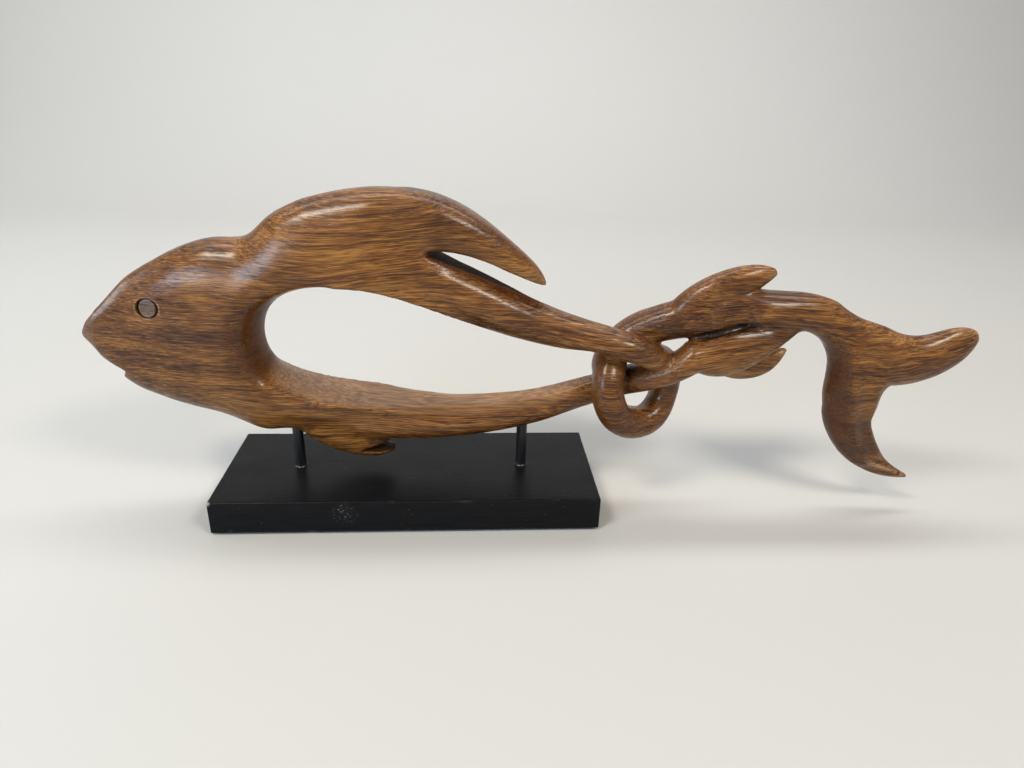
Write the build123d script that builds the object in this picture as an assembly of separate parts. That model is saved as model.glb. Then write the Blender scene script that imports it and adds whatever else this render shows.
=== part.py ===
from build123d import *
from math import copysign, cos, pi, sin
import os

os.makedirs("parts", exist_ok=True)

# Carved fish: nose towards -X, tail towards +X, back up. Its left side faces -Y.
fish_length = 480.0
fish_height = 160.0
fish_thickness = 46.0
nose_reach = 170.0
fish_low = 19.5

# Base block, the felt under it and the two posts. The table is at z = 0.
base_length = 210.0
base_width = 80.0
base_height = 19.0
base_edge_round = 0.8
felt_thickness = 1.2
felt_inset = 2.0
post_diameter = 6.0
post_spacing = 127.5
post_base_depth = 12.0
post_fish_depth = 9.0
post_clearance = 0.1
post_glue_gap = 0.05

# Eyes: round plugs in round bores, at the bottom of shallow oval sockets.
eye_diameter = 9.2
eye_depth = 5.0
eye_sink = 0.3
eye_dome = 0.8
eye_clearance = 0.05
socket_length = 12.8
socket_height = 10.4
socket_depth = 2.2
cut_overrun = 30.0

# The rear of the fish drifts towards -Y by this share of the way behind the base's middle.
rear_bend_share = 0.065

# Stations along each carved form: x as a share of the length from the nose, z as a share of the height,
# y and half depth as shares of the thickness, half height as a share of the height.
trunk_shares = [
    (0.001, 0.504, 0.00, 0.007, 0.03),
    (0.014, 0.514, 0.00, 0.058, 0.15),
    (0.038, 0.506, 0.00, 0.134, 0.24),
    (0.058, 0.508, 0.00, 0.188, 0.29),
    (0.075, 0.513, 0.00, 0.216, 0.33),
    (0.115, 0.524, 0.00, 0.269, 0.41),
    (0.160, 0.519, 0.00, 0.308, 0.46),
    (0.192, 0.504, 0.00, 0.337, 0.48),
    (0.208, 0.527, 0.00, 0.358, 0.49),
    (0.230, 0.546, 0.00, 0.380, 0.49),
    (0.270, 0.550, 0.00, 0.415, 0.48),
    (0.325, 0.556, 0.00, 0.431, 0.45),
    (0.370, 0.555, 0.00, 0.395, 0.41),
    (0.405, 0.540, 0.00, 0.310, 0.34),
    (0.440, 0.530, 0.00, 0.260, 0.22),
    (0.470, 0.520, 0.00, 0.220, 0.08),
]
dorsal_shares = [
    (0.270, 0.845, 0.00, 0.080, 0.30),
    (0.330, 0.882, 0.00, 0.106, 0.38),
    (0.385, 0.880, 0.00, 0.094, 0.36),
    (0.435, 0.829, 0.00, 0.065, 0.29),
    (0.472, 0.764, 0.00, 0.044, 0.20),
    (0.497, 0.713, 0.00, 0.024, 0.11),
    (0.505, 0.690, 0.00, 0.010, 0.05),
]
back_strand_shares = [
    (0.270, 0.790, 0.00, 0.070, 0.30),
    (0.335, 0.755, 0.00, 0.090, 0.40),
    (0.395, 0.700, 0.00, 0.080, 0.39),
    (0.450, 0.621, -0.02, 0.077, 0.34),
    (0.510, 0.561, -0.10, 0.061, 0.27),
    (0.562, 0.531, -0.19, 0.050, 0.22),
    (0.604, 0.500, -0.22, 0.046, 0.20),
    (0.637, 0.452, -0.08, 0.046, 0.20),
    (0.655, 0.386, 0.14, 0.046, 0.20),
    (0.656, 0.310, 0.20, 0.047, 0.20),
    (0.648, 0.243, 0.14, 0.049, 0.20),
    (0.624, 0.204, 0.00, 0.054, 0.20),
    (0.600, 0.227, -0.13, 0.056, 0.20),
    (0.587, 0.272, -0.20, 0.056, 0.21),
    (0.580, 0.335, -0.21, 0.056, 0.21),
    (0.582, 0.400, -0.11, 0.056, 0.21),
    (0.589, 0.462, 0.08, 0.053, 0.21),
    (0.605, 0.506, 0.16, 0.055, 0.21),
    (0.630, 0.548, 0.14, 0.060, 0.22),
    (0.664, 0.584, 0.08, 0.066, 0.24),
    (0.700, 0.615, 0.02, 0.068, 0.25),
    (0.745, 0.630, 0.00, 0.066, 0.24),
    (0.790, 0.628, 0.00, 0.062, 0.23),
    (0.825, 0.598, 0.00, 0.066, 0.22),
    (0.850, 0.535, 0.00, 0.080, 0.26),
    (0.866, 0.450, 0.00, 0.100, 0.29),
    (0.869, 0.370, 0.00, 0.103, 0.29),
    (0.870, 0.290, 0.00, 0.094, 0.27),
    (0.874, 0.205, 0.00, 0.075, 0.24),
    (0.891, 0.130, 0.00, 0.062, 0.19),
    (0.915, 0.064, 0.00, 0.041, 0.13),
    (0.941, 0.024, 0.00, 0.021, 0.07),
    (0.960, 0.008, 0.00, 0.008, 0.03),
]
back_strand_spans = [(0, 7), (7, 11), (11, 15), (15, 20), (20, 27), (27, 32)]
belly_strand_shares = [
    (0.255, 0.215, 0.00, 0.060, 0.30),
    (0.315, 0.208, 0.00, 0.072, 0.36),
    (0.375, 0.206, 0.00, 0.070, 0.35),
    (0.430, 0.216, 0.01, 0.064, 0.31),
    (0.485, 0.238, 0.05, 0.056, 0.26),
    (0.535, 0.272, 0.13, 0.050, 0.22),
    (0.575, 0.306, 0.18, 0.047, 0.20),
    (0.610, 0.360, 0.05, 0.047, 0.20),
    (0.642, 0.408, -0.13, 0.043, 0.20),
    (0.672, 0.470, -0.16, 0.053, 0.21),
    (0.706, 0.486, -0.10, 0.085, 0.22),
    (0.730, 0.506, -0.07, 0.080, 0.22),
    (0.758, 0.537, -0.03, 0.053, 0.19),
    (0.788, 0.588, 0.00, 0.031, 0.13),
    (0.812, 0.614, 0.00, 0.015, 0.08),
]
belly_strand_spans = [(0, 6), (6, 9), (9, 14)]
pelvic_shares = [
    (0.235, 0.220, 0.00, 0.060, 0.28),
    (0.268, 0.172, 0.00, 0.080, 0.30),
    (0.297, 0.132, 0.00, 0.077, 0.26),
    (0.320, 0.097, 0.00, 0.046, 0.19),
    (0.336, 0.083, 0.00, 0.012, 0.08),
]
upper_rear_fin_shares = [
    (0.650, 0.600, 0.04, 0.030, 0.14),
    (0.690, 0.680, 0.01, 0.055, 0.17),
    (0.720, 0.724, 0.00, 0.050, 0.15),
    (0.742, 0.747, 0.00, 0.034, 0.10),
    (0.756, 0.758, 0.00, 0.010, 0.05),
]
lower_rear_fin_shares = [
    (0.700, 0.440, 0.02, 0.040, 0.12),
    (0.725, 0.424, 0.04, 0.046, 0.13),
    (0.748, 0.420, 0.05, 0.044, 0.12),
    (0.766, 0.440, 0.05, 0.036, 0.10),
    (0.778, 0.470, 0.05, 0.020, 0.07),
    (0.785, 0.487, 0.05, 0.006, 0.03),
]
upper_lobe_shares = [
    (0.835, 0.550, 0.00, 0.060, 0.15),
    (0.876, 0.492, 0.00, 0.100, 0.26),
    (0.912, 0.464, 0.00, 0.092, 0.23),
    (0.946, 0.480, 0.00, 0.078, 0.18),
    (0.971, 0.518, 0.00, 0.066, 0.13),
    (0.987, 0.548, 0.00, 0.043, 0.08),
    (0.995, 0.560, 0.00, 0.018, 0.04),
]

# Outlines of what is cut through the carving, as shares of the length and the height.
opening_shares = [
    (0.190, 0.515),
    (0.199, 0.595),
    (0.228, 0.665),
    (0.280, 0.698),
    (0.355, 0.660),
    (0.445, 0.548),
    (0.520, 0.497),
    (0.575, 0.470),
    (0.580, 0.390),
    (0.545, 0.325),
    (0.475, 0.282),
    (0.385, 0.268),
    (0.300, 0.290),
    (0.232, 0.335),
    (0.200, 0.400),
]
opening_flare_share = 0.045
opening_wall_share = 0.28
opening_reach_share = 0.60
dorsal_slot_top_shares = [(0.374, 0.806), (0.404, 0.806), (0.438, 0.780), (0.472, 0.734), (0.510, 0.688)]
dorsal_slot_low_shares = [(0.374, 0.801), (0.404, 0.759), (0.448, 0.702), (0.482, 0.660), (0.530, 0.615)]
pelvic_slot_top_shares = [(0.296, 0.092), (0.315, 0.112), (0.340, 0.115)]
pelvic_slot_low_shares = [(0.296, 0.090), (0.318, 0.082), (0.345, 0.084)]
mouth_shares = [(0.010, 0.452), (0.050, 0.397), (0.037, 0.354)]
eye_place_shares = (0.0880, 0.622)

# Roundness of the sections: 2 is an ellipse, more is squarer.
trunk_power = 2.7
strand_power = 2.3
oval_points = 16


def place(x_share, z_share, y_share):
    x = x_share * fish_length - nose_reach
    z = z_share * fish_height + fish_low
    drift = rear_bend_share * max(0, x)
    return Vector(x, y_share * fish_thickness - drift, z)


def oval(half_width, half_height, power):
    points = []
    for step in range(oval_points):
        turn = 2 * pi * step / oval_points
        across = copysign(abs(cos(turn)) ** (2 / power), cos(turn))
        upward = copysign(abs(sin(turn)) ** (2 / power), sin(turn))
        points.append((half_width * across, half_height * upward))
    return make_face(Spline(*points, periodic=True))


def sections_of(shares, power, upright=False):
    middles = [place(x, z, y) for x, z, y, high, deep in shares]
    sections = []
    for count, (x, z, y, high, deep) in enumerate(shares):
        before = middles[max(count - 1, 0)]
        after = middles[min(count + 1, len(middles) - 1)]
        along = Vector(1, 0, 0) if upright else after - before
        plane = Plane(middles[count], x_dir=(0, 1, 0), z_dir=along)
        sections.append(plane * oval(deep * fish_thickness, high * fish_height, power))
    return sections


def carved(shares, power, upright=False):
    return loft(sections_of(shares, power, upright))


def carved_spans(shares, spans, power):
    sections = sections_of(shares, power)
    return [loft(sections[first : last + 1]) for first, last in spans]


def flat_point(shares):
    spot = place(*shares, 0)
    return (spot.X, spot.Z)


def through_cut(edges):
    return extrude(Plane.XZ * make_face(edges), amount=fish_thickness + cut_overrun, both=True)


def slot_cut(top_shares, low_shares):
    top = [flat_point(pair) for pair in top_shares]
    low = [flat_point(pair) for pair in low_shares]
    return through_cut([Spline(*top), Line(top[-1], low[-1]), Spline(*low), Line(low[0], top[0])])


def opening_cut():
    rear = max(x for x, z in opening_shares)
    sections = []
    for side in (-opening_reach_share, -opening_wall_share, opening_wall_share, opening_reach_share):
        flare = opening_flare_share if abs(side) == opening_reach_share else 0
        points = [flat_point((x - flare * (rear - x), z)) for x, z in opening_shares]
        plane = Plane.XZ.offset(-side * fish_thickness)
        sections.append(plane * make_face(Spline(*points, periodic=True)))
    return loft(sections)


def make_fish_body():
    back = carved_spans(back_strand_shares, back_strand_spans, strand_power)
    belly = carved_spans(belly_strand_shares, belly_strand_spans, strand_power)
    trunk = carved(trunk_shares, trunk_power, upright=True)
    dorsal = carved(dorsal_shares, trunk_power)
    pelvic = carved(pelvic_shares, strand_power)
    front = trunk.fuse(back[0], belly[0], dorsal, pelvic) - opening_cut()
    front = front - slot_cut(dorsal_slot_top_shares, dorsal_slot_low_shares)
    front = front - slot_cut(pelvic_slot_top_shares, pelvic_slot_low_shares)
    mouth = [flat_point(pair) for pair in mouth_shares]
    front = front - through_cut(Polyline(*mouth, close=True))
    rear_fins = [
        carved(upper_rear_fin_shares, strand_power),
        carved(lower_rear_fin_shares, strand_power),
        carved(upper_lobe_shares, strand_power),
    ]
    body = front
    for form in [*back[1:], *belly[1:], *rear_fins]:
        body = body.fuse(form)
    return body


def eye_planes(body):
    # Each eye lies on the surface where a line across the head comes out of it.
    x, z = flat_point(eye_place_shares)
    hits = body.find_intersection_points(Axis((x, -fish_length, z), (0, 1, 0)))
    near_spot, near_out = hits[0]
    far_spot, far_out = hits[-1]
    near = Plane(near_spot, x_dir=(1, 0, 0), z_dir=near_out)
    far = Plane(far_spot, x_dir=(1, 0, 0), z_dir=far_out)
    return near, far


def eye_socket(plane):
    oval_face = plane.offset(-socket_depth) * Ellipse(socket_length / 2, socket_height / 2)
    bore_face = plane.offset(-eye_depth) * Circle(eye_diameter / 2 + eye_clearance)
    return extrude(oval_face, amount=cut_overrun) + extrude(bore_face, amount=cut_overrun)


def eye_plug(plane):
    plug = extrude(plane.offset(-eye_depth) * Circle(eye_diameter / 2), amount=eye_depth - eye_sink)
    rim = plug.edges().sort_by(Axis(plane.origin, plane.z_dir))[-1]
    return fillet(rim, eye_dome)


def belly_level(body, x):
    hits = body.find_intersection_points(Axis((x, 0, 0), (0, 0, 1)))
    return min(spot.Z for spot, out in hits)


def rod(x, low, high, radius):
    return extrude(Plane((x, 0, low)) * Circle(radius), amount=high - low)


body = make_fish_body()
near_eye, far_eye = eye_planes(body)
post_radius = post_diameter / 2
base_low = felt_thickness
base_top = base_low + base_height
socket_low = base_top - post_base_depth

base = extrude(Plane((0, 0, base_low)) * Rectangle(base_length, base_width), amount=base_height)
base = fillet(base.edges(), base_edge_round)
felt = extrude(Rectangle(base_length - 2 * felt_inset, base_width - 2 * felt_inset), amount=felt_thickness)
carving = body - eye_socket(near_eye) - eye_socket(far_eye)
posts = {}
for name, x in (("post_front", -post_spacing / 2), ("post_rear", post_spacing / 2)):
    post_top = belly_level(body, x) + post_fish_depth
    carving = carving - rod(x, 0, post_top, post_radius + post_clearance)
    base = base - rod(x, socket_low, base_top + cut_overrun, post_radius + post_glue_gap)
    posts[name] = rod(x, socket_low, post_top, post_radius)
    print(name, "top at", round(post_top, 2))

pieces = {
    "fish_carving": carving,
    "eye_left": eye_plug(near_eye),
    "eye_right": eye_plug(far_eye),
    "base_block": base,
    "felt_sheet": felt,
    **posts,
}
for name, piece in pieces.items():
    print(name, len(piece.solids()), round(piece.volume), piece.is_valid)
    export_step(piece, f"parts/{name}.step")
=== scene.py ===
import math

import bmesh
import bpy
import numpy as np
from mathutils import Matrix, Vector, kdtree, noise


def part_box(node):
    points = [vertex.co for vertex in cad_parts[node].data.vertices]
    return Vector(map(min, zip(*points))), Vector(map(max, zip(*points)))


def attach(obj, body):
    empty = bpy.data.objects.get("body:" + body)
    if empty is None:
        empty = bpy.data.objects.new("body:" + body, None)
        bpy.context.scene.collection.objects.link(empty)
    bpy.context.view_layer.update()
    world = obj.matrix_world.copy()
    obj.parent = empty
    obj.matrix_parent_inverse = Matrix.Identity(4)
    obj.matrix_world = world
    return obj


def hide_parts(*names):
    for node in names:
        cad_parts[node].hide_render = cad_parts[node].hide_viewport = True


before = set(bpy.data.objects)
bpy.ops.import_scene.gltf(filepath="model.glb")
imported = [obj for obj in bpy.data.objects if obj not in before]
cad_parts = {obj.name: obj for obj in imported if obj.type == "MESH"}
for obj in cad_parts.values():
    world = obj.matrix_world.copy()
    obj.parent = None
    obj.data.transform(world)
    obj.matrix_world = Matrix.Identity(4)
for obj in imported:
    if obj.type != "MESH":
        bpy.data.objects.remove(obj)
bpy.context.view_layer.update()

mm = 0.001  # lengths of the object are written in millimetres times this
weldDistance = 0.001 * mm
noLength = 1e-9  # what a length of nothing counts as in a division
sides = ("left", "right")
print("frame loaded,", len(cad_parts), "nodes")


# reading and writing whole meshes as arrays

def readPoints(mesh):
    flat = np.empty(len(mesh.vertices) * 3)
    mesh.vertices.foreach_get("co", flat)
    return flat.reshape(-1, 3)


def writePoints(mesh, points):
    mesh.vertices.foreach_set("co", points.ravel())
    mesh.update()


def readNormals(mesh):
    flat = np.empty(len(mesh.vertices) * 3)
    mesh.vertex_normals.foreach_get("vector", flat)
    return flat.reshape(-1, 3)


def readEdges(mesh):
    flat = np.empty(len(mesh.edges) * 2, np.int32)
    mesh.edges.foreach_get("vertices", flat)
    return flat.reshape(-1, 2)


def writeAttribute(mesh, name, values):
    attribute = mesh.attributes.new(name, "FLOAT", "POINT")
    attribute.data.foreach_set("value", values.astype(np.float32))


def smoothStep(values, low, high):
    share = np.clip((values - low) / (high - low), 0, 1)
    return share * share * (3 - 2 * share)


# 1 up to a core, which is a share of the reach, and 0 beyond the reach
def fadeOut(distance, reach, core):
    return 1 - smoothStep(distance, core * reach, reach)


sanding = {
    "share": 0.5,  # of the way to the middle of the neighbours, in each round
    "normalsEvery": 10,  # rounds
}


# the middle of each point's neighbours, where edges holds every edge that meets these points
def middles(points, edges):
    count = len(points)
    valence = np.maximum(np.bincount(edges.ravel(), minlength=count), 1)
    result = np.empty_like(points)
    for axis in range(3):
        column = points[:, axis]
        result[:, axis] = np.bincount(edges[:, 0], column[edges[:, 1]], count)
        result[:, axis] += np.bincount(edges[:, 1], column[edges[:, 0]], count)
    return result / valence[:, None]


# every point moves towards the middle of its neighbours, as sandpaper does
def sand(points, edges, rounds):
    for count in range(rounds):
        points = points + sanding["share"] * (middles(points, edges) - points)
    return points


# the same where hollows rise by one share and ridges sink by another
def sandApart(mesh, fill, cut, rounds):
    worked = np.maximum(fill, cut)
    edges = readEdges(mesh)
    edges = edges[(worked > 0)[edges].any(axis=1)]
    points = readPoints(mesh)
    inside = np.flatnonzero(worked > 0)
    for count in range(rounds):
        if count % sanding["normalsEvery"] == 0:
            writePoints(mesh, points)
            normals = readNormals(mesh)[inside]
        shift = middles(points, edges)[inside] - points[inside]
        out = np.sum(shift * normals, axis=1)
        level = shift - out[:, None] * normals
        out = out * np.where(out > 0, fill[inside], cut[inside])
        step = out[:, None] * normals + worked[inside, None] * level
        points[inside] += sanding["share"] * step
    writePoints(mesh, points)


seedStep = (3.1, 1.7, 2.3)  # how far one seed's noise lies from the next one's, in cells


def noiseAt(points, size, seed):
    shift = Vector([seed * step for step in seedStep])
    return np.array([noise.noise(Vector(point) / size + shift) for point in points])


def meshFromBmesh(name, form):
    mesh = bpy.data.meshes.new(name)
    form.to_mesh(mesh)
    form.free()
    mesh.shade_smooth()
    return mesh


def addPiece(name, mesh, body, node, material):
    piece = bpy.data.objects.new(name, mesh)
    bpy.context.scene.collection.objects.link(piece)
    mesh.materials.clear()
    mesh.materials.append(material)
    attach(piece, body)
    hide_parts(node)
    print("piece", name, "with", len(mesh.polygons), "faces")
    return piece


# shader helpers

def addNode(tree, kind, inputs=None, **settings):
    node = tree.nodes.new(kind)
    for key, value in settings.items():
        setattr(node, key, value)
    for key, value in (inputs or {}).items():
        if isinstance(value, bpy.types.NodeSocket):
            tree.links.new(value, node.inputs[key])
        else:
            node.inputs[key].default_value = value
    return node


def startMaterial(name):
    material = bpy.data.materials.new(name)
    material.use_nodes = True
    tree = material.node_tree
    return material, tree, tree.nodes["Principled BSDF"]


def objectPlace(tree):
    return addNode(tree, "ShaderNodeTexCoord").outputs["Object"]


# a value that the mesh keeps at each point, 0 where it keeps none
def mark(tree, name):
    return addNode(tree, "ShaderNodeAttribute", attribute_name=name).outputs["Fac"]


# noise drawn out along the axes: cells gives how many cells go in a metre along x, y and z
def streaks(tree, place, cells, detail=2.0, roughness=0.5, distortion=0.0):
    stretch = addNode(tree, "ShaderNodeMapping", {"Vector": place, "Scale": cells})
    inputs = {"Vector": stretch.outputs[0], "Scale": 1.0, "Detail": detail}
    inputs.update({"Roughness": roughness, "Distortion": distortion})
    return addNode(tree, "ShaderNodeTexNoise", inputs).outputs["Fac"]


def ramp(tree, factor, stops):
    node = addNode(tree, "ShaderNodeValToRGB", {"Fac": factor})
    band = node.color_ramp
    while len(band.elements) < len(stops):
        band.elements.new(0.5)
    for element, (position, colour) in zip(band.elements, stops):
        element.position = position
        element.color = (*colour, 1)
    return node.outputs["Color"]


def spread(tree, value, low, high, toLow=0.0, toHigh=1.0):
    inputs = {"Value": value, "From Min": low, "From Max": high, "To Min": toLow, "To Max": toHigh}
    return addNode(tree, "ShaderNodeMapRange", inputs, clamp=True).outputs["Result"]


def calc(tree, operation, first, second):
    return addNode(tree, "ShaderNodeMath", {0: first, 1: second}, operation=operation).outputs[0]


def vectorCalc(tree, operation, first, second, key=1):
    inputs = {0: first, key: second}
    return addNode(tree, "ShaderNodeVectorMath", inputs, operation=operation).outputs[0]


# noises added up, each counted from its middle, so that 0.5 stays the middle tone
def addTones(tree, layers):
    tone = 0.5 - sum(weight for factor, weight in layers) / 2
    for factor, weight in layers:
        tone = calc(tree, "ADD", calc(tree, "MULTIPLY", factor, weight), tone)
    return tone


mixFactor, mixFirst, mixSecond, mixResult = 0, 6, 7, 2  # a mix node's colour sockets
noiseMiddle = (0.5, 0.5, 0.5)


def blendColour(tree, factor, first, second, mode="MIX"):
    node = addNode(tree, "ShaderNodeMix", data_type="RGBA", blend_type=mode)
    for key, value in ((mixFactor, factor), (mixFirst, first), (mixSecond, second)):
        if isinstance(value, bpy.types.NodeSocket):
            tree.links.new(value, node.inputs[key])
        else:
            node.inputs[key].default_value = value if key == mixFactor else (*value, 1)
    return node.outputs[mixResult]


def addBump(tree, height, strength, depth):
    inputs = {"Height": height, "Strength": strength, "Distance": depth}
    return addNode(tree, "ShaderNodeBump", inputs).outputs[0]


# varnished wood: grain along x, dark pores, light worn edges, painted shade in hollows, painted
# shade and stain on some walls and flanks, and a painted reflection on the opening's floor

carvedWood = {
    "darkLine": (0.028, 0.009, 0.0025),
    "brown": (0.098, 0.035, 0.009),
    "warmBrown": (0.182, 0.071, 0.016),
    "paleBrown": (0.360, 0.164, 0.040),
    "pore": (0.020, 0.008, 0.004),
    "wornEdge": (0.460, 0.260, 0.120),
    "stainedAndShaded": (0.46, 0.38, 0.33),
    "hollowShade": (0.012, 0.006, 0.004),
    "tones": {"darkLine": 0.12, "brown": 0.40, "warmBrown": 0.60, "paleBrown": 0.92},
    # cells in a metre along x, y and z, then the noise's detail, roughness and distortion
    "layers": {
        "cloud": ((22, 30, 40), 3.0, 0.55),
        "figure": ((9, 50, 120), 3.0, 0.55, 0.4),
        "lines": ((28, 450, 1400), 3.0, 0.6),
        "fibres": ((90, 1000, 2600), 2.0, 0.6),
        "pores": ((110, 900, 1500), 1.0),
        "longLines": ((10, 140, 420), 2.0),
    },
    "weights": {"cloud": 0.8, "figure": 0.9, "lines": 1.3, "fibres": 1.3},
    "longLinesFrom": (0.60, 0.70),
    "longLineDepth": 0.22,
    "poresFrom": (0.62, 0.70),
    "poreStrength": 0.7,
    # end grain is dark and even: how much contrast is left, and the tone under it
    "endContrast": 0.4,
    "endTone": 0.28,
    # the grain wanders a little everywhere and curls on the tail, from one x to another
    "wander": {"cells": 9.0, "detail": 1.0, "reach": (0.0, 5 * mm, 25 * mm)},
    "curl": {"cells": 70.0, "detail": 2.0, "reach": (4 * mm, 4 * mm, 4 * mm)},
    "curlFrom": (200 * mm, 260 * mm),
    # two values of a noise or a mark, and what they become
    "wornPatches": (0.35, 0.65, 0.25, 1.0),
    "satin": (0.3, 0.7, 0.50, 0.38),
    "varnish": (0, 1, 0.6, 0.05),
    "dullRoughness": 0.9,
    "specular": 0.06,
    "varnishRoughness": 0.23,
    "varnishIor": 1.5,
    "fibreHeight": 0.6,
    "grainStrengths": {"Normal": 0.35, "Coat Normal": 0.3},
    "grainDepth": 0.2 * mm,
}

eyeWood = dict(
    carvedWood,
    darkLine=(0.060, 0.034, 0.024),
    brown=(0.120, 0.074, 0.052),
    warmBrown=(0.165, 0.105, 0.076),
    paleBrown=(0.220, 0.146, 0.108),
)

woodMarks = ("wornEdge", "hollowShade", "stainAndShade", "dullAndShaded", "endGrain")


def swayedPlace(tree, place, finish):
    alongFish = addNode(tree, "ShaderNodeSeparateXYZ", {0: place}).outputs["X"]
    onTail = spread(tree, alongFish, *finish["curlFrom"])
    swayed = place
    for sway, share in ((finish["wander"], 1.0), (finish["curl"], onTail)):
        inputs = {"Vector": place, "Scale": sway["cells"], "Detail": sway["detail"]}
        shift = addNode(tree, "ShaderNodeTexNoise", inputs).outputs["Color"]
        shift = vectorCalc(tree, "SUBTRACT", shift, noiseMiddle)
        shift = vectorCalc(tree, "MULTIPLY", shift, sway["reach"])
        shift = vectorCalc(tree, "SCALE", shift, share, "Scale")
        swayed = vectorCalc(tree, "ADD", swayed, shift)
    return swayed


def makeWood(name, finish):
    material, tree, shader = startMaterial(name)
    place = objectPlace(tree)
    swayed = swayedPlace(tree, place, finish)
    layers = {}
    for key, layer in finish["layers"].items():
        layers[key] = streaks(tree, place if key == "cloud" else swayed, *layer)
    tone = addTones(tree, [(layers[key], weight) for key, weight in finish["weights"].items()])
    longLines = spread(tree, layers["longLines"], *finish["longLinesFrom"])
    longLines = calc(tree, "MULTIPLY", longLines, finish["longLineDepth"])
    tone = calc(tree, "SUBTRACT", tone, longLines)
    endGrain = mark(tree, "endGrain")
    contrast = spread(tree, endGrain, 0, 1, 1.0, finish["endContrast"])
    tone = calc(tree, "MULTIPLY", tone, contrast)
    tone = calc(tree, "ADD", tone, spread(tree, endGrain, 0, 1, 0.0, finish["endTone"]))
    colour = ramp(tree, tone, [(stop, finish[key]) for key, stop in finish["tones"].items()])
    pores = spread(tree, layers["pores"], *finish["poresFrom"])
    poreShare = calc(tree, "MULTIPLY", pores, finish["poreStrength"])
    colour = blendColour(tree, poreShare, colour, finish["pore"])

    # the dull walls lose varnish and gloss; their darker colour is painted shade
    dullAndShaded = mark(tree, "dullAndShaded")
    patchy = spread(tree, layers["lines"], *finish["wornPatches"])
    # pale worn edges, with the opening floor's painted reflection carried on the same mark
    wearAndFloorSheen = calc(tree, "MULTIPLY", mark(tree, "wornEdge"), patchy)
    colour = blendColour(tree, wearAndFloorSheen, colour, finish["wornEdge"])
    # painted shade: the stain-and-shade mark, and the dull walls' shade, darken the colour
    stainAndShade = calc(tree, "MAXIMUM", mark(tree, "stainAndShade"), dullAndShaded)
    colour = blendColour(tree, stainAndShade, colour, finish["stainedAndShaded"], "MULTIPLY")
    # painted shade: hollows and the sockets' floors are blended towards near black
    colour = blendColour(tree, mark(tree, "hollowShade"), colour, finish["hollowShade"])
    tree.links.new(colour, shader.inputs["Base Color"])

    satin = spread(tree, layers["lines"], *finish["satin"])
    rough = calc(tree, "MULTIPLY", dullAndShaded, finish["dullRoughness"])
    tree.links.new(calc(tree, "MAXIMUM", satin, rough), shader.inputs["Roughness"])
    shader.inputs["Specular IOR Level"].default_value = finish["specular"]
    tree.links.new(spread(tree, dullAndShaded, *finish["varnish"]), shader.inputs["Coat Weight"])
    shader.inputs["Coat Roughness"].default_value = finish["varnishRoughness"]
    shader.inputs["Coat IOR"].default_value = finish["varnishIor"]

    height = calc(tree, "MULTIPLY", layers["fibres"], finish["fibreHeight"])
    height = calc(tree, "SUBTRACT", height, pores)
    for socket, strength in finish["grainStrengths"].items():
        bump = addBump(tree, height, strength, finish["grainDepth"])
        tree.links.new(bump, shader.inputs[socket])
    return material


# satin black paint on the base: brush lines, dust, a scuffed patch and bare corners

blackPaint = {
    "paint": (0.0030, 0.0034, 0.0046),
    "rubbed": (0.0085, 0.009, 0.0105),
    "bareWood": (0.40, 0.34, 0.27),
    "dust": (0.30, 0.29, 0.28),
    "layers": {
        "brush": ((40, 900, 900), 3.0, 0.6),
        "cloud": ((30, 30, 30), 3.0, 0.6),
        "rare": ((300, 300, 300), 2.0),
        "scratch": ((700, 700, 1500), 3.0, 0.7, 0.8),
    },
    "rubbedFrom": (0.35, 0.75),
    "dustCells": 520,
    "speckFrom": (0.10, 0.06),  # distances from a cell's middle
    "rareFrom": (0.58, 0.64),
    "scratchFrom": (0.60, 0.66),
    "markStrength": 0.8,
    "specular": 0.12,
    "gloss": (0.3, 0.7, 0.30, 0.42),
    "scuffRoughness": 0.3,
    "bumpStrength": 0.25,
    "bumpDepth": 0.15 * mm,
}


def makeBlackPaint():
    material, tree, shader = startMaterial("satin_black_paint")
    place = objectPlace(tree)
    layers = {key: streaks(tree, place, *layer) for key, layer in blackPaint["layers"].items()}
    rubbed = spread(tree, layers["brush"], *blackPaint["rubbedFrom"])
    colour = blendColour(tree, rubbed, blackPaint["paint"], blackPaint["rubbed"])
    colour = blendColour(tree, mark(tree, "wornEdge"), colour, blackPaint["bareWood"])

    scuff = mark(tree, "scuff")
    inputs = {"Vector": place, "Scale": blackPaint["dustCells"]}
    specks = addNode(tree, "ShaderNodeTexVoronoi", inputs).outputs["Distance"]
    specks = spread(tree, specks, *blackPaint["speckFrom"])
    rare = spread(tree, layers["rare"], *blackPaint["rareFrom"])
    scratches = spread(tree, layers["scratch"], *blackPaint["scratchFrom"])
    scratches = calc(tree, "MULTIPLY", scratches, scuff)
    marks = calc(tree, "MAXIMUM", calc(tree, "MULTIPLY", specks, rare), scratches)
    marks = calc(tree, "MULTIPLY", marks, blackPaint["markStrength"])
    colour = blendColour(tree, marks, colour, blackPaint["dust"])
    tree.links.new(colour, shader.inputs["Base Color"])

    shader.inputs["Specular IOR Level"].default_value = blackPaint["specular"]
    gloss = spread(tree, layers["cloud"], *blackPaint["gloss"])
    rough = calc(tree, "MULTIPLY", scuff, blackPaint["scuffRoughness"])
    tree.links.new(calc(tree, "ADD", gloss, rough), shader.inputs["Roughness"])
    height = calc(tree, "ADD", layers["brush"], scratches)
    bump = addBump(tree, height, blackPaint["bumpStrength"], blackPaint["bumpDepth"])
    tree.links.new(bump, shader.inputs["Normal"])
    return material


# black rod for the posts

rodBlack = {
    "paint": (0.005, 0.0055, 0.007),
    "rubbed": (0.015, 0.016, 0.020),
    "drawn": ((600, 600, 25), 2.0, 0.6),
    "rubbedFrom": (0.4, 0.75),
    "gloss": (0.3, 0.7, 0.30, 0.42),
    "bumpStrength": 0.2,
    "bumpDepth": 0.05 * mm,
}


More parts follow.
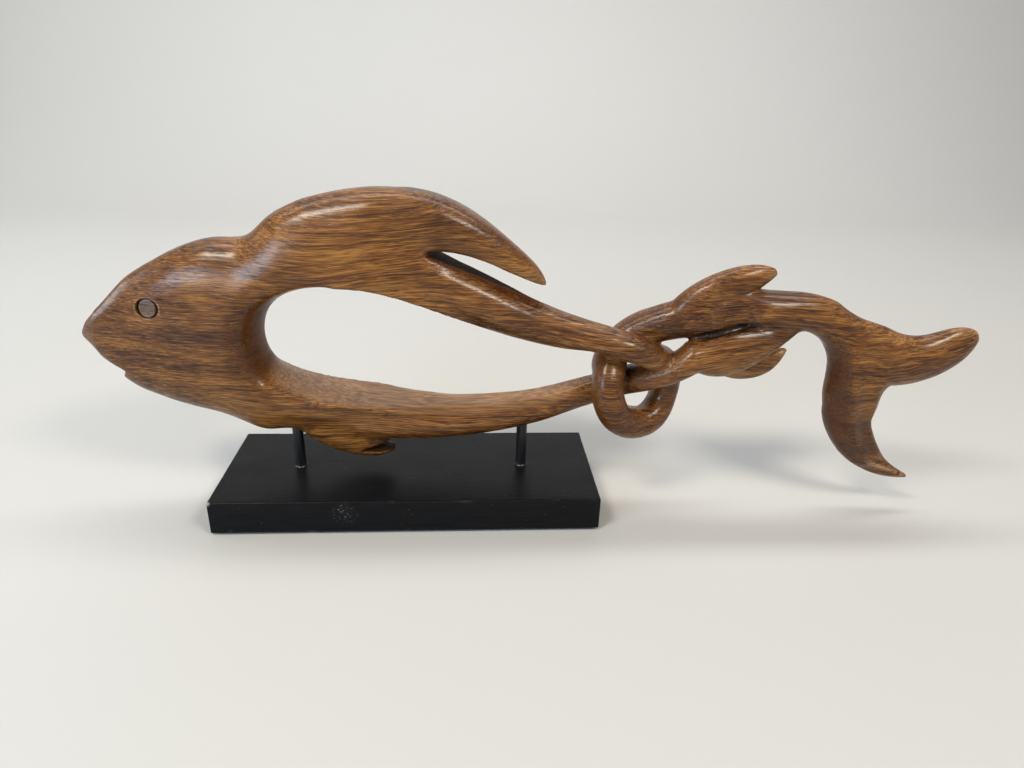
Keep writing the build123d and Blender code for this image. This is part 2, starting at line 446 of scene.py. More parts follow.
def makeRodBlack():
    material, tree, shader = startMaterial("black_rod")
    drawn = streaks(tree, objectPlace(tree), *rodBlack["drawn"])
    rubbed = spread(tree, drawn, *rodBlack["rubbedFrom"])
    colour = blendColour(tree, rubbed, rodBlack["paint"], rodBlack["rubbed"])
    tree.links.new(colour, shader.inputs["Base Color"])
    tree.links.new(spread(tree, drawn, *rodBlack["gloss"]), shader.inputs["Roughness"])
    bump = addBump(tree, drawn, rodBlack["bumpStrength"], rodBlack["bumpDepth"])
    tree.links.new(bump, shader.inputs["Normal"])
    return material


# dark pressed felt under the base

darkFelt = {
    "deep": (0.006, 0.006, 0.007),
    "fluff": (0.028, 0.027, 0.027),
    "fibres": ((900, 900, 1400), 4.0, 0.7, 1.0),
    "fluffFrom": (0.35, 0.7),
    "roughness": 1.0,
    "sheen": 0.2,
    "bumpStrength": 0.6,
    "bumpDepth": 0.3 * mm,
}


def makeDarkFelt():
    material, tree, shader = startMaterial("dark_felt")
    fibres = streaks(tree, objectPlace(tree), *darkFelt["fibres"])
    fluff = spread(tree, fibres, *darkFelt["fluffFrom"])
    colour = blendColour(tree, fluff, darkFelt["deep"], darkFelt["fluff"])
    tree.links.new(colour, shader.inputs["Base Color"])
    shader.inputs["Roughness"].default_value = darkFelt["roughness"]
    shader.inputs["Sheen Weight"].default_value = darkFelt["sheen"]
    bump = addBump(tree, fibres, darkFelt["bumpStrength"], darkFelt["bumpDepth"])
    tree.links.new(bump, shader.inputs["Normal"])
    return material


# the carving: the solid's surface is remeshed, sanded over its joints, and left a little uneven

carving = {
    "voxel": 0.8 * mm,
    "mostTriangles": 185000,
    "allOverRounds": 4,
    "creaseRounds": 80,
    "creaseRidges": 0.1,  # how much ridges sink where creases are filled
    "roundingRounds": 220,
    "unevenSize": 26 * mm,
    "unevenDepth": 0.35 * mm,
    "unevenSeed": 4,
    "toolSize": 9 * mm,
    "toolDepth": 0.13 * mm,
    "toolSeed": 9,
    "sharpAngle": 55,
}

# places by x and z as shares of the fish's box, with their reach along x and z in mm:
# where one form flows into the next, and where the surface is worked round
placeCore = 0.5  # the share of a place's reach over which it counts in full
filledCreases = [
    (0.34, 0.78, 34, 26),
    (0.36, 0.24, 60, 16),
    (0.26, 0.16, 30, 24),
    (0.31, 0.95, 36, 14),
    (0.87, 0.49, 26, 24),
    (0.66, 0.62, 22, 14),
    (0.81, 0.61, 24, 16),
]
roundedPlaces = [
    (0.165, 0.53, 30, 42),
    (0.23, 0.76, 28, 26),
    (0.855, 0.60, 20, 14),
    (0.885, 0.36, 12, 16),
    (0.30, 0.92, 38, 22),
    (0.385, 0.315, 36, 10),
]

# the groove between the two strands behind the knot, on the near side
groove = {
    "line": [
        (0.672, 0.538), (0.694, 0.561), (0.711, 0.577),
        (0.726, 0.586), (0.741, 0.593), (0.757, 0.600),
    ],
    "width": 2.0 * mm,
    "depth": 2.4 * mm,
    "endFade": 0.8,  # counted in the line's points
    "facing": (0.0, 0.4),  # how much of the normal points to the near side, from none to full
}

# the tail's lower lobe has a soft ridge down its middle, with a flatter face on each side
tailRidge = {
    "line": [
        (0.842, 0.56), (0.852, 0.45), (0.858, 0.35), (0.864, 0.25),
        (0.878, 0.16), (0.905, 0.08), (0.945, 0.03),
    ],
    "halfWidths": [16, 17, 16, 15, 12, 9, 4],  # mm
    "depth": 2.2 * mm,
    "power": 1.5,
    "startFade": 0.8,
    "thinness": 8 * mm,  # below this distance from the middle plane it fades
    "drift": -0.065,  # how the middle plane leans to the near side along x
}

# the face turns into the opening over a wide round at the opening's front end
openingRound = {
    "box": (0.165, 0.34, 0.30, 0.70),
    "ahead": 0.04,  # how far before the box points still move
    "wallFacing": 0.4,  # a wall's normal points less than this along y
    "facing": (0.1, 0.7),  # how much of it points along x, from no round to the full one
    "reach": 13 * mm,
    "depth": 4.0 * mm,
    "halfThickness": 18 * mm,
    "sandFrom": (0, 0.1),
    "sandRounds": 12,
}

# the snout comes to a wedge: points this near to its tip are drawn back from it
noseWedge = {
    "reach": 10 * mm,
    "power": 0.74,
}

# the back swells a little in front of the dorsal fin, after the sanding has taken it down
backSwell = {
    "places": [(0.285, 0.97, 31, 24)],
    "height": 1.4 * mm,
}

# edges rubbed pale, and painted shade that darkens hollows, by how far a point stands out of its
# surroundings
wear = {
    "edgeRounds": 10,
    "edge": (0.35 * mm, 0.9 * mm),
    "edgeStrength": 0.8,
    "tipEdge": (0.06 * mm, 0.3 * mm),
    "tipStrength": 0.9,
    "hollowShadeRounds": 70,
    "hollowShade": (0.35 * mm, 1.7 * mm),
    "hollowShadeStrength": 0.92,
    "socketOval": 1.1,
    "socketFloor": 0.5 * mm,
    "endGrain": (0.2, 0.7),
    "softenRounds": 14,
}
wornTips = [
    (0.930, 0.05, 26, 14),
    (0.985, 0.55, 14, 16),
    (0.765, 0.72, 18, 12),
    (0.780, 0.45, 14, 10),
    (0.500, 0.72, 14, 12),
    (0.828, 0.33, 8, 22),
]

# painted shade by place: the opening's front wall is painted darker as shade, the tail's lower lobe
# partly as shade and partly as a darker stain; and painted shade on flanks only where they face
# forward
stainsAndShade = {
    "places": [(0.182, 0.50, 16, 34), (0.875, 0.17, 24, 26)],
    "strength": 0.65,
    "flanks": [(0.850, 0.36, 30, 44)],
    "flankFacing": (0.1, 0.65),
    "flankStrength": 0.85,
}

# inner walls that are hardly varnished and painted darker as shade: strengths and lines of places
dullShadedWalls = {
    "lines": [
        (1.0, [(0.376, 0.80), (0.400, 0.775), (0.430, 0.735), (0.460, 0.705), (0.500, 0.665)]),
        (0.6, [(0.210, 0.62), (0.190, 0.52), (0.200, 0.44)]),
        (1.0, [(0.310, 0.090), (0.350, 0.080)]),
    ],
    "reach": 7 * mm,
    "core": 0.6,
    "facing": (0.4, 0.75),
}

# painted reflection: the up-facing floor of the long opening is painted paler and more even than
# the faces, and the painted shade in its hollows is mostly lifted
openingFloorSheen = {
    "line": [
        (0.215, 0.40), (0.25, 0.345), (0.31, 0.300),
        (0.38, 0.285), (0.46, 0.300), (0.53, 0.33),
    ],
    "reach": 8 * mm,
    "core": 0.6,
    "facing": (0.3, 0.8),
    "strength": 0.5,
    "evenness": 0.85,
    "shadeLifted": 0.7,
}

# the upper rear fin's cut edge is bare of stain
paleCut = {
    "line": [(0.773, 0.71), (0.758, 0.672), (0.744, 0.635)],
    "reach": 3 * mm,
    "core": 0.5,
    "facing": (0.2, 0.8),
    "strength": 0.75,
}


def weldedCopy(nodeName):
    form = bmesh.new()
    form.from_mesh(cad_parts[nodeName].data)
    bmesh.ops.remove_doubles(form, verts=form.verts, dist=weldDistance)
    return form


def withModifier(mesh, kind, **settings):
    holder = bpy.data.objects.new("holder", mesh)
    bpy.context.scene.collection.objects.link(holder)
    modifier = holder.modifiers.new(kind, kind)
    for key, value in settings.items():
        setattr(modifier, key, value)
    depsgraph = bpy.context.evaluated_depsgraph_get()
    result = bpy.data.meshes.new_from_object(holder.evaluated_get(depsgraph))
    bpy.data.objects.remove(holder)
    return result


def cutAway(mesh, cutters):
    for cutter in cutters:
        tool = bpy.data.objects.new("cutter", meshFromBmesh("cutter", cutter))
        bpy.context.scene.collection.objects.link(tool)
        settings = {"operation": "DIFFERENCE", "solver": "EXACT", "object": tool}
        mesh = withModifier(mesh, "BOOLEAN", **settings)
        bpy.data.objects.remove(tool)
    return mesh


def fishBox():
    low, high = (np.array(corner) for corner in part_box("fish_carving"))
    return low, high - low


def nearPlaces(points, places):
    low, size = fishBox()
    share = np.zeros(len(points))
    for xShare, zShare, xReach, zReach in places:
        across = (points[:, 0] - (low[0] + xShare * size[0])) / (xReach * mm)
        upward = (points[:, 2] - (low[2] + zShare * size[2])) / (zReach * mm)
        share = np.maximum(share, fadeOut(np.hypot(across, upward), 1.0, placeCore))
    return share


# distance in x and z from a line of places, and the place along it counted in its points
def alongLine(points, line):
    low, size = fishBox()
    spots = np.array([(low[0] + x * size[0], low[2] + z * size[2]) for x, z in line])
    flat = points[:, [0, 2]]
    nearest = np.full(len(points), np.inf)
    place = np.zeros(len(points))
    for index, (start, end) in enumerate(zip(spots, spots[1:])):
        run = end - start
        share = np.clip((flat - start) @ run / (run @ run), 0, 1)
        distance = np.linalg.norm(flat - start - share[:, None] * run, axis=1)
        closer = distance < nearest
        nearest[closer] = distance[closer]
        place[closer] = index + share[closer]
    return nearest, place


def nearLine(points, line, finish):
    return fadeOut(alongLine(points, line)[0], finish["reach"], finish["core"])


def cutGroove(mesh):
    points = readPoints(mesh)
    normals = readNormals(mesh)
    distance, place = alongLine(points, groove["line"])
    toEnd = np.minimum(place, len(groove["line"]) - 1 - place)
    share = np.clip(1 - (distance / groove["width"]) ** 2, 0, 1) ** 2
    share *= smoothStep(toEnd, 0, groove["endFade"]) * smoothStep(-normals[:, 1], *groove["facing"])
    writePoints(mesh, points - normals * (groove["depth"] * share)[:, None])


def flattenTail(mesh):
    points = readPoints(mesh)
    distance, place = alongLine(points, tailRidge["line"])
    marks = range(len(tailRidge["line"]))
    halfWidth = np.interp(place, marks, tailRidge["halfWidths"]) * mm
    share = np.sin(math.pi * np.clip(distance / halfWidth, 0, 1)) ** tailRidge["power"]
    share *= smoothStep(place, 0, tailRidge["startFade"])
    out = points[:, 1] - tailRidge["drift"] * np.maximum(points[:, 0], 0)
    share *= np.clip(np.abs(out) / tailRidge["thinness"], 0, 1)
    points[:, 1] -= np.sign(out) * share * tailRidge["depth"]
    writePoints(mesh, points)


def swellBack(mesh):
    points = readPoints(mesh)
    points[:, 2] += nearPlaces(points, backSwell["places"]) * backSwell["height"]
    writePoints(mesh, points)


def sharpenNose(mesh):
    points = readPoints(mesh)
    tip = points[:, 0].min()
    share = np.clip((points[:, 0] - tip) / noseWedge["reach"], 0, 1)
    points[:, 0] += noseWedge["reach"] * (share ** noseWedge["power"] - share)
    writePoints(mesh, points)


def roundOpening(mesh):
    points = readPoints(mesh)
    normals = readNormals(mesh)
    low, size = fishBox()
    shares = (points - low) / size
    xShare, zShare = shares[:, 0], shares[:, 2]
    xFrom, xTo, zFrom, zTo = openingRound["box"]
    inBox = (xShare > xFrom) & (xShare < xTo) & (zShare > zFrom) & (zShare < zTo)
    wall = np.flatnonzero(inBox & (np.abs(normals[:, 1]) < openingRound["wallFacing"]))
    tree = kdtree.KDTree(len(wall))
    for index in wall:
        tree.insert((points[index, 0], 0, points[index, 2]), index)
    tree.balance()
    reach = np.zeros(len(points))
    facing = np.zeros(len(points))
    for index in np.flatnonzero((xShare > xFrom - openingRound["ahead"]) & (xShare < xTo)):
        nearest, distance = tree.find((points[index, 0], 0, points[index, 2]))[1:]
        reach[index] = max(0, 1 - distance / openingRound["reach"])
        facing[index] = normals[nearest, 0]
    share = reach ** 2 * smoothStep(facing, *openingRound["facing"])
    sideways = np.clip(points[:, 1] / openingRound["halfThickness"], -1, 1)
    points[:, 1] -= share * openingRound["depth"] * sideways
    writePoints(mesh, points)
    soft = smoothStep(share, *openingRound["sandFrom"])
    sandApart(mesh, soft, soft, openingRound["sandRounds"])


def makeCarving():
    form = weldedCopy("fish_carving")
    for side in sides:  # the blurred sockets are filled here and cut sharp at the end
        depth, sink = -eyeSocket["fillDepth"], eyeSocket["sink"]
        filling = eyeOval("eye_" + side, eyeSocket["filling"], depth, sink)
        form.from_mesh(meshFromBmesh("filling", filling))
    mesh = meshFromBmesh("carving", form)
    mesh = withModifier(mesh, "REMESH", mode="VOXEL", voxel_size=carving["voxel"])
    print("carving remeshed,", len(mesh.polygons), "faces")
    points = sand(readPoints(mesh), readEdges(mesh), carving["allOverRounds"])
    writePoints(mesh, points)
    creases = nearPlaces(points, filledCreases)
    rounded = nearPlaces(points, roundedPlaces)
    sandApart(mesh, creases, carving["creaseRidges"] * creases, carving["creaseRounds"])
    sandApart(mesh, rounded, rounded, carving["roundingRounds"])
    swellBack(mesh)
    sharpenNose(mesh)
    roundOpening(mesh)
    flattenTail(mesh)
    cutGroove(mesh)
    points = readPoints(mesh)
    uneven = np.zeros(len(points))
    for kind in ("uneven", "tool"):
        size, seed = carving[kind + "Size"], carving[kind + "Seed"]
        uneven += noiseAt(points, size, seed) * carving[kind + "Depth"]
    writePoints(mesh, points + readNormals(mesh) * uneven[:, None])
    triangles = 2 * len(mesh.polygons)
    if triangles > carving["mostTriangles"]:
        mesh = withModifier(mesh, "DECIMATE", ratio=carving["mostTriangles"] / triangles)
    cutters = []
    for side in sides:
        cutters.append(eyeOval("eye_" + side, 0, -eyeSocket["depth"], eyeSocket["overrun"]))
        cutters.append(eyeBore("eye_" + side))
    mesh = cutAway(mesh, cutters)
    mesh.shade_smooth()
    mesh.set_sharp_from_angle(angle=math.radians(carving["sharpAngle"]))
    markWear(mesh)
    return mesh


# what the wood's material reads at each point, in the order of woodMarks
def markWear(mesh):
    points = readPoints(mesh)
    edges = readEdges(mesh)
    normals = readNormals(mesh)
    near = np.sum((points - sand(points, edges, wear["edgeRounds"])) * normals, axis=1)
    far = np.sum((points - sand(points, edges, wear["hollowShadeRounds"])) * normals, axis=1)
    wearAndFloorSheen = smoothStep(near, *wear["edge"]) * wear["edgeStrength"]
    tips = smoothStep(near, *wear["tipEdge"]) * nearPlaces(points, wornTips)
    wearAndFloorSheen = np.maximum(wearAndFloorSheen, tips * wear["tipStrength"])
    # painted shade: points lying deeper than their surroundings are painted dark
    hollowShade = smoothStep(-far, *wear["hollowShade"]) * wear["hollowShadeStrength"]
    for side in sides:  # painted shade: the sockets' floors are painted fully dark
        inward = np.array(eyeSeat("eye_" + side)[0].inverted())
        x, y, z = (points @ inward[:3, :3].T + inward[:3, 3]).T
        oval = np.hypot(x / eyeSocket["length"], y / eyeSocket["height"]) * 2
        floor = np.abs(z + eyeSocket["depth"]) < wear["socketFloor"]
        hollowShade = np.where((oval < wear["socketOval"]) & floor, 1.0, hollowShade)

    # painted shade: inner walls of slots and of the opening's front are darkened, besides losing
    # varnish
    dullAndShaded = np.zeros(len(points))
    for strength, line in dullShadedWalls["lines"]:
        dullAndShaded = np.maximum(dullAndShaded, strength * nearLine(points, line, dullShadedWalls))
    dullAndShaded *= 1 - smoothStep(np.abs(normals[:, 1]), *dullShadedWalls["facing"])
    # painted reflection: the opening's up-facing floor is painted pale with the worn-edge colour
    pale = nearLine(points, openingFloorSheen["line"], openingFloorSheen)
    pale *= smoothStep(normals[:, 2], *openingFloorSheen["facing"])
    cut = paleCut["strength"] * nearLine(points, paleCut["line"], paleCut)
    cut *= smoothStep(normals[:, 0] - normals[:, 2], *paleCut["facing"])
    wearAndFloorSheen = np.maximum(np.maximum(wearAndFloorSheen, openingFloorSheen["strength"] * pale), cut)
    hollowShade *= 1 - openingFloorSheen["shadeLifted"] * pale

    # painted shade: flanks facing forward and the listed places are darkened
    flankShade = nearPlaces(points, stainsAndShade["flanks"])
    flankShade *= smoothStep(-normals[:, 0], *stainsAndShade["flankFacing"])
    stainAndShade = stainsAndShade["strength"] * nearPlaces(points, stainsAndShade["places"])
    stainAndShade = np.maximum(stainAndShade, stainsAndShade["flankStrength"] * flankShade)
    endGrain = smoothStep(np.abs(normals[:, 0]), *wear["endGrain"])
    # the opening floor's painted reflection also evens its grain
    endGrain = np.maximum(endGrain, openingFloorSheen["evenness"] * pale)
    soft = sand(np.column_stack((stainAndShade, dullAndShaded, endGrain)), edges, wear["softenRounds"])
    for name, values in zip(woodMarks, (wearAndFloorSheen, hollowShade, *soft.T)):
        writeAttribute(mesh, name, values)


# turned pieces: a profile of (radius, height) pairs spun round z

def turn(profile, steps):
    form = bmesh.new()
    rings = []
    for radius, height in profile:
        ring = []
        for step in range(steps):
            angle = math.tau * step / steps
            spot = (radius * math.cos(angle), radius * math.sin(angle), height)
            ring.append(form.verts.new(spot))
        rings.append(ring)
    for lower, upper in zip(rings, rings[1:]):
        for step in range(steps):
            after = (step + 1) % steps
            form.faces.new((lower[step], lower[after], upper[after], upper[step]))
    form.faces.new(reversed(rings[0]))
    form.faces.new(rings[-1])
    return form


def moveToNode(form, nodeName):
    low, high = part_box(nodeName)
    form.transform(Matrix.Translation(((low.x + high.x) / 2, (low.y + high.y) / 2, 0)))
    return form


# the eyes: turned plugs with a softly domed front, seated where the solid ones are

eyePlug = {
    "domeHeight": 0.25 * mm,
    "rimRound": 0.5 * mm,
    "domeRings": 7,
    "rimRings": 5,
    "steps": 72,
    "gap": 0.05 * mm,
}

eyeSocket = {
    "length": 12.8 * mm,
    "height": 10.4 * mm,
    "depth": 2.4 * mm,
    "sink": 0.3 * mm,
    "overrun": 4 * mm,
    "filling": 0.3 * mm,
    "fillDepth": 6 * mm,
}


# a plug's front with z outward and x along the head, its radius and its length
def eyeSeat(nodeName):
    points = readPoints(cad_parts[nodeName].data)
    middle = (points.max(axis=0) + points.min(axis=0)) / 2
    axes = np.linalg.eigh(np.cov((points - middle).T))[1]  # the plug's thin way comes first
    outward = axes[:, 0] * np.sign(axes[1, 0] * middle[1])
    along = (points - middle) @ outward
    radius = np.linalg.norm((points - middle) - np.outer(along, outward), axis=1).max()
    zAxis = Vector(outward)
    xAxis = Vector((1, 0, 0)) - zAxis * zAxis.x
    xAxis.normalize()
    facing = Matrix((xAxis, zAxis.cross(xAxis), zAxis)).transposed().to_4x4()
    front = Matrix.Translation(Vector(middle) + zAxis * along.max()) @ facing
    return front, radius, along.max() - along.min()


def eyeOval(nodeName, margin, low, high):
    form = turn([(1, low), (1, high)], eyePlug["steps"])
    size = (eyeSocket["length"] / 2 + margin, eyeSocket["height"] / 2 + margin, 1, 1)
    form.transform(eyeSeat(nodeName)[0] @ Matrix.Diagonal(size))
    return form


def eyeBore(nodeName):
    front, radius, length = eyeSeat(nodeName)
    bore = radius + eyePlug["gap"]
    form = turn([(bore, -length), (bore, eyeSocket["overrun"])], eyePlug["steps"])
    form.transform(front)
    return form


def makeEye(nodeName):
    front, radius, length = eyeSeat(nodeName)
    rim = eyePlug["rimRound"]
    profile = [(radius - rim / 2, -length), (radius, rim / 2 - length)]
    for step in range(eyePlug["rimRings"] + 1):
        angle = math.pi / 2 * step / eyePlug["rimRings"]
        profile.append((radius - rim + rim * math.cos(angle), rim * math.sin(angle) - rim))
    for step in range(1, eyePlug["domeRings"]):
        share = 1 - step / eyePlug["domeRings"]
        profile.append(((radius - rim) * share, eyePlug["domeHeight"] * (1 - share * share)))
    form = turn(profile, eyePlug["steps"])
    form.transform(front)
    mesh = meshFromBmesh(nodeName, form)
    for name in woodMarks:
        writeAttribute(mesh, name, np.zeros(len(mesh.vertices)))
    return mesh


# posts: rods with broken ends and a fillet of glue where they leave the base

postRod = {
    "endBreak": 0.5 * mm,
    "glueWidth": 0.8 * mm,
    "glueHeight": 1.1 * mm,
    "glueSink": 0.1 * mm,
    "glueFoot": 0.2 * mm,
    "glueRings": 6,
    "bodyRings": 40,
    "bodyUneven": 0.03 * mm,
    "unevenSize": 9 * mm,
    "steps": 48,
}


def makePost(nodeName):
    low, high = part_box(nodeName)
    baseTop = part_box("base_block")[1].z
    radius = (high.x - low.x) / 2
    endBreak = postRod["endBreak"]
    profile = [(radius - endBreak, low.z), (radius, low.z + endBreak)]
    profile.append((radius, baseTop - postRod["glueFoot"]))
    for step in range(postRod["glueRings"]):
        share = step / (postRod["glueRings"] - 1)
        flare = postRod["glueWidth"] * (1 - math.sin(share * math.pi / 2))
        height = baseTop - postRod["glueSink"] + postRod["glueHeight"] * share
        profile.append((radius + flare, height))
    start = baseTop + postRod["glueHeight"]
    for step in range(1, postRod["bodyRings"]):
        height = start + (high.z - endBreak - start) * step / postRod["bodyRings"]
        sway = noise.noise(Vector((low.x, 0, height)) / postRod["unevenSize"])
        profile.append((radius + postRod["bodyUneven"] * sway, height))
    profile.append((radius, high.z - endBreak))
    profile.append((radius - endBreak, high.z))
    form = turn(profile, postRod["steps"])
    return meshFromBmesh(nodeName, moveToNode(form, nodeName))


# slabs: a box of grid lines, closer together at the edges, with its edges rounded

closeLines = (0, 0.15, 0.35, 0.6, 0.8, 1, 1.5, 2.5)  # in rounding radii from an edge


def edgeLines(low, high, edge, spacing):
    close = np.array([share * edge for share in closeLines])
    inset = closeLines[-1] * edge
    count = max(2, round((high - low - 2 * inset) / spacing))
    between = np.linspace(low + inset, high - inset, count + 1)[1:-1]
    return np.concatenate([low + close, between, high - close[::-1]])


def makeSlab(name, low, high, edge, spacing):
    lines = [edgeLines(low[axis], high[axis], edge, spacing) for axis in range(3)]
    form = bmesh.new()
    for axis in range(3):
        first, second = (axis + 1) % 3, (axis + 2) % 3
        for level, outward in ((low[axis], False), (high[axis], True)):
            grid = []
            for u in lines[first]:
                row = []
                for v in lines[second]:
                    corner = [0.0, 0.0, 0.0]
                    corner[axis], corner[first], corner[second] = level, u, v
                    row.append(form.verts.new(corner))
                grid.append(row)
            for i in range(len(grid) - 1):
                for j in range(len(grid[0]) - 1):
                    face = [grid[i][j], grid[i + 1][j], grid[i + 1][j + 1], grid[i][j + 1]]
                    form.faces.new(face if outward else face[::-1])
    bmesh.ops.remove_doubles(form, verts=form.verts, dist=weldDistance)
    mesh = meshFromBmesh(name, form)
    points = readPoints(mesh)
    inner = np.clip(points, np.array(low) + edge, np.array(high) - edge)
    out = points - inner
    length = np.linalg.norm(out, axis=1, keepdims=True)
    writePoints(mesh, inner + edge * out / np.maximum(length, noLength))
    return mesh


# how deep points lie below a box's faces along each axis, and the box's middle
def insets(points, low, high):
    middle = (np.array(low) + np.array(high)) / 2
    half = (np.array(high) - np.array(low)) / 2
    return half - np.abs(points - middle), middle


# the base: a painted slab with soft worn edges, a scuffed patch and a chipped corner

baseSlab = {
    "edge": 0.9 * mm,
    "spacing": 1.6 * mm,
    "edgeFade": (0.2 * mm, 2.2 * mm),
    "nickDepth": 0.2 * mm,
    "nickSize": 5 * mm,
    "nickSeed": 11,
    "nickFrom": (0.25, 0.6),
    "nickWear": 0.04,
    "scuffShares": (0.34, 0.0, 0.62),  # of the base's length, width and height
    "scuffReach": 9 * mm,
    "scuffCore": 0.2,
    "scuffDepth": 0.35 * mm,
    "scuffSize": 2.2 * mm,
    "scuffSeed": 5,
    "scuffLevel": 0.5,
    "chipReach": 2.2 * mm,
    "chipCore": 0.4,
    "chipDepth": 0.7 * mm,
    "holeGap": 0.05 * mm,
}


def postHole(nodeName):
    low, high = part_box(nodeName)
    radius = (high.x - low.x) / 2 + baseSlab["holeGap"]
    form = turn([(radius, low.z), (radius, high.z)], postRod["steps"])
    return moveToNode(form, nodeName)


def makeBase():
    low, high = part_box("base_block")
    slab = makeSlab("base_block", low, high, baseSlab["edge"], baseSlab["spacing"])
    mesh = cutAway(slab, [postHole("post_front"), postHole("post_rear")])
    points = readPoints(mesh)
    depths = np.sort(insets(points, low, high)[0], axis=1)
    edgeNear = 1 - smoothStep(depths[:, 1], *baseSlab["edgeFade"])  # 1 along the slab's edges
    nicks = noiseAt(points, baseSlab["nickSize"], baseSlab["nickSeed"])
    nicks = smoothStep(nicks, *baseSlab["nickFrom"]) * edgeNear
    size = np.array(high) - np.array(low)
    scuffAt = np.array(low) + np.array(baseSlab["scuffShares"]) * size
    fromScuff = np.linalg.norm(points - scuffAt, axis=1)
    scuff = fadeOut(fromScuff, baseSlab["scuffReach"], baseSlab["scuffCore"])
    fromChip = np.linalg.norm(points - np.array([low.x, low.y, high.z]), axis=1)
    chip = fadeOut(fromChip, baseSlab["chipReach"], baseSlab["chipCore"])
    rough = baseSlab["scuffLevel"] + noiseAt(points, baseSlab["scuffSize"], baseSlab["scuffSeed"])
    dent = nicks * baseSlab["nickDepth"] + chip * baseSlab["chipDepth"]
    dent += scuff * rough * baseSlab["scuffDepth"]
    writePoints(mesh, points - readNormals(mesh) * dent[:, None])
    writeAttribute(mesh, "wornEdge", np.maximum(chip, baseSlab["nickWear"] * nicks))
    writeAttribute(mesh, "scuff", scuff)
    return mesh


# the felt: a thin slab whose cut edge is a little ragged

feltSlab = {
    "edge": 0.3 * mm,
    "spacing": 2.5 * mm,
    "ragged": 0.25 * mm,
    "raggedSize": 1.8 * mm,
    "raggedSeed": 8,
    "raggedFade": (0, 3 * mm),
}


def makeFelt():
    low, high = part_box("felt_sheet")
    mesh = makeSlab("felt_sheet", low, high, feltSlab["edge"], feltSlab["spacing"])
    points = readPoints(mesh)
    depths, middle = insets(points, low, high)
    edgeNear = 1 - smoothStep(depths[:, :2].min(axis=1), *feltSlab["raggedFade"])
    pull = noiseAt(points, feltSlab["raggedSize"], feltSlab["raggedSeed"])
    pull *= edgeNear * feltSlab["ragged"]
    points[:, :2] -= np.sign(points - middle)[:, :2] * np.abs(pull)[:, None]
    writePoints(mesh, points)
    return mesh


wood = makeWood("varnished_wood", carvedWood)
plugWood = makeWood("eye_wood", eyeWood)
paint = makeBlackPaint()
rodPaint = makeRodBlack()
felt = makeDarkFelt()
print("materials made")

addPiece("carvedFish", makeCarving(), "carving", "fish_carving", wood)
for side in sides:
    node = "eye_" + side
    addPiece(side + "Eye", makeEye(node), "carving", node, plugWood)
for end in ("front", "rear"):
    node = "post_" + end
    addPiece(end + "Post", makePost(node), "stand", node, rodPaint)
addPiece("baseBlock", makeBase(), "stand", "base_block", paint)
feltPiece = addPiece("feltUnderBase", makeFelt(), "stand", "felt_sheet", felt)


# pale floor that sweeps up behind, in metres

studio = {
    "floorColour": (0.57, 0.565, 0.55),
    "cloudCells": (3, 3, 3),
    "cloudShade": 0.96,
    "roughness": 0.7,
    "halfWidth": 3.0,
    "frontReach": -2.0,
    "backReach": 0.9,
    "sweepRadius": 0.5,
    "wallHeight": 2.4,
    "sweepSteps": 16,
}


def makeStage():
    form = bmesh.new()
    line = [(studio["frontReach"], 0.0)]
    back, radius = studio["backReach"], studio["sweepRadius"]
    for step in range(studio["sweepSteps"] + 1):
        angle = math.pi / 2 * step / studio["sweepSteps"]
        line.append((back + radius * math.sin(angle), radius * (1 - math.cos(angle))))
    line.append((back + radius, studio["wallHeight"]))
    rows = []
    for y, z in line:
        rows.append([form.verts.new((end * studio["halfWidth"], y, z)) for end in (-1, 1)])
    for lower, upper in zip(rows, rows[1:]):
        form.faces.new((lower[0], lower[1], upper[1], upper[0]))
    material, tree, shader = startMaterial("pale_floor")
    cloud = streaks(tree, objectPlace(tree), studio["cloudCells"])
    pale = studio["floorColour"]
    shade = tuple(channel * studio["cloudShade"] for channel in pale)
    tree.links.new(blendColour(tree, cloud, pale, shade), shader.inputs["Base Color"])
    shader.inputs["Roughness"].default_value = studio["roughness"]
    mesh = meshFromBmesh("floor", form)
    mesh.materials.append(material)
    floor = bpy.data.objects.new("floor", mesh)
    bpy.context.scene.collection.objects.link(floor)


# warm lamps overhead, cool windows in front and at the head's end, and a lamp on the wall
middleOfFish = (0.05, 0.0, 0.09)
lamps = {
    "leftCeiling": {
        "at": (-0.48, -0.50, 1.0),
        "aim": middleOfFish,
        "size": (0.32, 0.17),
        "power": 6.5,
        "colour": (1.0, 0.91, 0.77),
    },
    "rightCeiling": {
        "at": (0.62, -0.68, 0.93),
        "aim": middleOfFish,
        "size": (0.34, 0.2),
        "power": 6.8,
        "colour": (1.0, 0.93, 0.80),
    },
    "window": {
        "at": (-0.78, -0.87, 0.45),
        "aim": middleOfFish,
        "size": (0.5, 0.27),
        "power": 5.8,
        "colour": (0.58, 0.78, 1.0),
    },
    "sideWindow": {
        "at": (-1.26, 0.08, 0.42),
        "aim": middleOfFish,
        "size": (0.6, 0.45),
        "power": 4.4,
        "colour": (0.74, 0.87, 1.0),
    },
    "wall": {
        "at": (0.0, 0.45, 1.6),
        "aim": (0.0, 1.4, 0.5),
        "size": (2.4, 0.4),
        "power": 26,
        "colour": (1.0, 0.99, 0.97),
    },
}

# the room looks pale to the camera and in reflections, and gives little light
room = {
    "colour": (0.95, 0.97, 1.0),
    "light": 0.17,
    "look": 0.55,
}


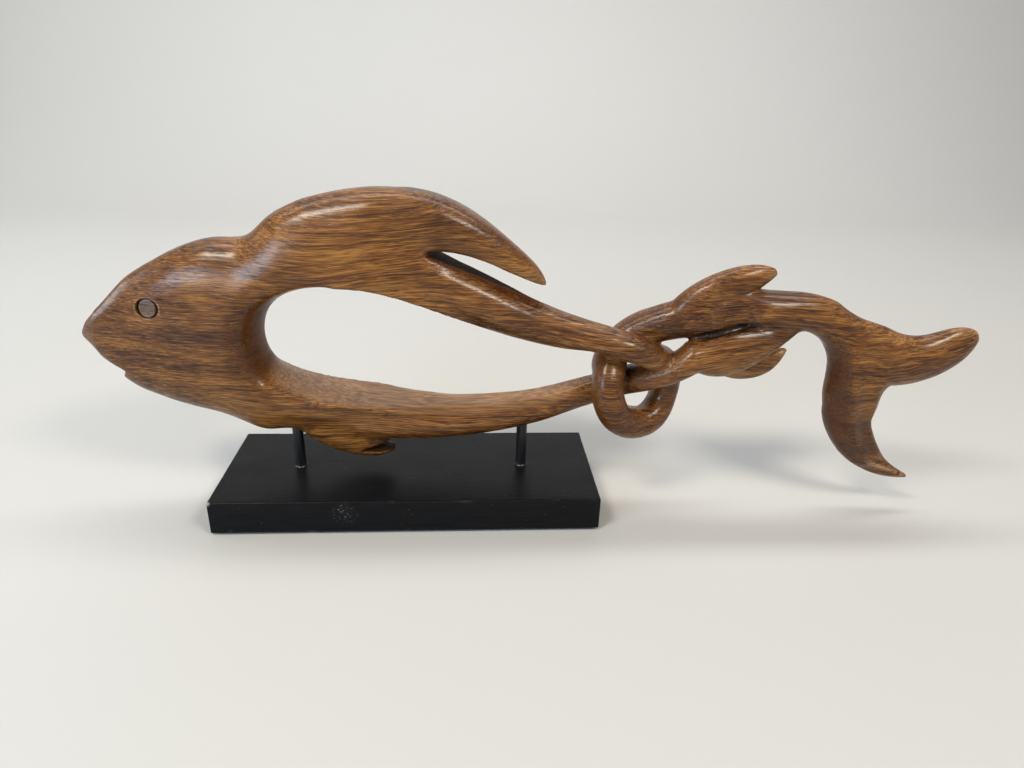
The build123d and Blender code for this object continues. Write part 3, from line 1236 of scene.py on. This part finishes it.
def makeLamps():
    for name, lamp in lamps.items():
        light = bpy.data.lights.new(name, "AREA")
        light.shape = "RECTANGLE"
        light.size, light.size_y = lamp["size"]
        light.energy = lamp["power"]
        light.color = lamp["colour"]
        holder = bpy.data.objects.new(name, light)
        holder.location = lamp["at"]
        holder.rotation_mode = "QUATERNION"
        aim = Vector(lamp["aim"]) - holder.location
        holder.rotation_quaternion = aim.to_track_quat("-Z", "Y")
        bpy.context.scene.collection.objects.link(holder)
    world = bpy.data.worlds.new("studio")
    world.use_nodes = True
    tree = world.node_tree
    sky = tree.nodes["Background"]
    sky.inputs["Color"].default_value = (*room["colour"], 1)
    rays = addNode(tree, "ShaderNodeLightPath").outputs
    seen = calc(tree, "MAXIMUM", rays["Is Camera Ray"], rays["Is Glossy Ray"])
    seen = calc(tree, "MAXIMUM", seen, rays["Is Transmission Ray"])
    strength = spread(tree, seen, 0, 1, room["light"], room["look"])
    tree.links.new(strength, sky.inputs["Strength"])
    bpy.context.scene.world = world


# the photograph's own viewpoint, worked out from the base's corners

photoCamera = {
    "at": (29.5 * mm, -363.7 * mm, 229.1 * mm),
    "yaw": 4.37,
    "pitch": 23.38,
    "roll": 1.78,
    "focalPixels": 705,
    "widthPixels": 1024,
    "sensor": 36.0,
    "clipStart": 10 * mm,
}


def makeCamera():
    lens = bpy.data.cameras.new("photoCamera")
    lens.sensor_width = photoCamera["sensor"]
    lens.lens = photoCamera["focalPixels"] / photoCamera["widthPixels"] * photoCamera["sensor"]
    lens.clip_start = photoCamera["clipStart"]
    camera = bpy.data.objects.new("photoCamera", lens)
    aim = Matrix.Rotation(-math.radians(photoCamera["yaw"]), 4, "Z")
    aim = aim @ Matrix.Rotation(math.radians(90 - photoCamera["pitch"]), 4, "X")
    aim = aim @ Matrix.Rotation(math.radians(photoCamera["roll"]), 4, "Z")
    camera.matrix_world = Matrix.Translation(photoCamera["at"]) @ aim
    bpy.context.scene.collection.objects.link(camera)
    bpy.context.scene.camera = camera


makeStage()
makeLamps()
makeCamera()
bpy.context.scene.view_settings.view_transform = "Standard"
print("stage, lamps and camera made")
